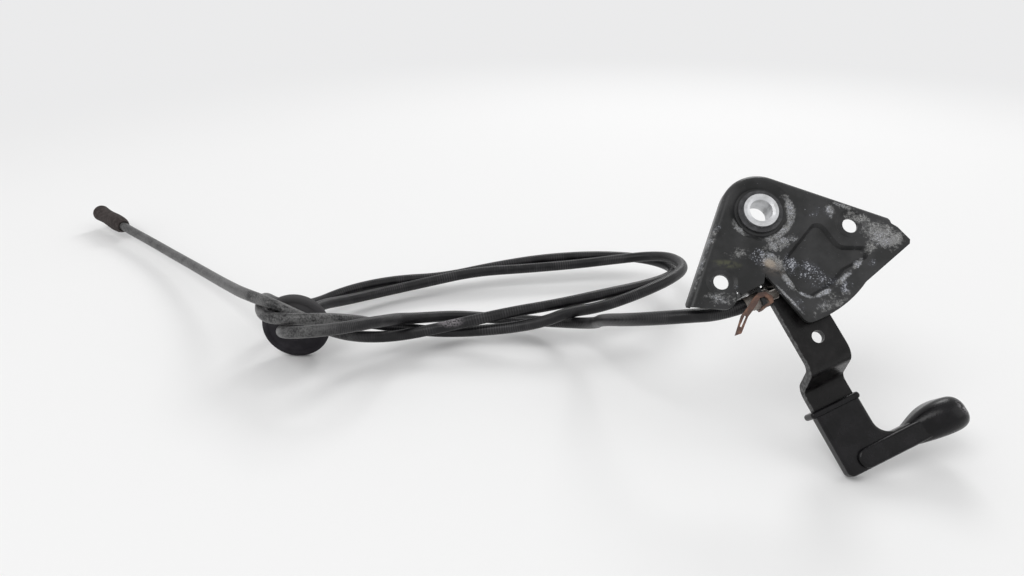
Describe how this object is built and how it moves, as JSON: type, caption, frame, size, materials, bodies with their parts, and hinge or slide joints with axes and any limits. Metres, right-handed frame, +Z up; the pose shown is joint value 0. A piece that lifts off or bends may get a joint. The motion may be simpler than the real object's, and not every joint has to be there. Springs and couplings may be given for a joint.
{
  "type": "bonnet release handle",
  "caption": "Bonnet release handle: a cranked lever with a moulded grip turns on a pressed bracket and pulls a long sleeved cable with a rubber grommet.",
  "frame": {"origin": "on the pivot's axis, in the plane of the bracket's front face", "axes": "+Z up, +X to the right as the bracket is faced, +Y away from the viewer; the bracket leans back 41.5 degrees from upright, so the pivot's axis points forward and up"},
  "size_m": [0.5855, 0.3474, 0.1284],
  "materials": {
    "mounting_bracket": "satin black paint, worn and corroded",
    "pivot_bush": "zinc plated",
    "bush_collar": "moulded black",
    "thrust_washer": "moulded black",
    "lever_arm": "satin black paint",
    "back_washer": "plain steel",
    "handle_grip": "moulded, rubbed shiny",
    "wire_nipple": "dull",
    "inner_wire": "stranded, greased",
    "conduit_ferrule": "dull, stained",
    "cable_clip": "rusted spring steel",
    "cable_lead": "fine ribbed sleeve",
    "cable_coil": "fine ribbed sleeve",
    "cable_tail": "fine ribbed sleeve",
    "firewall_grommet": "matt",
    "end_boot": "rough, brownish black"
  },
  "bodies": {
    "bracket": {"mounting_bracket": "mounting_bracket", "pivot_bush": "pivot_bush", "bush_collar": "bush_collar", "thrust_washer": "thrust_washer", "back_washer": "back_washer", "inner_wire": "inner_wire", "conduit_ferrule": "conduit_ferrule", "cable_clip": "cable_clip", "cable_lead": "cable_lead", "cable_coil": "cable_coil", "cable_tail": "cable_tail", "firewall_grommet": "firewall_grommet", "end_boot": "end_boot"},
    "lever": {"lever_arm": "lever_arm", "handle_grip": "handle_grip", "wire_nipple": "wire_nipple"}
  },
  "joints": [
    {"name": "lever_pivot", "type": "hinge", "parent": "bracket", "child": "lever", "pos_m": [0, 0, 0], "axis": [0, -0.749, 0.6626], "range_deg": [0, 40], "deforming": ["inner_wire"]}
  ]
}
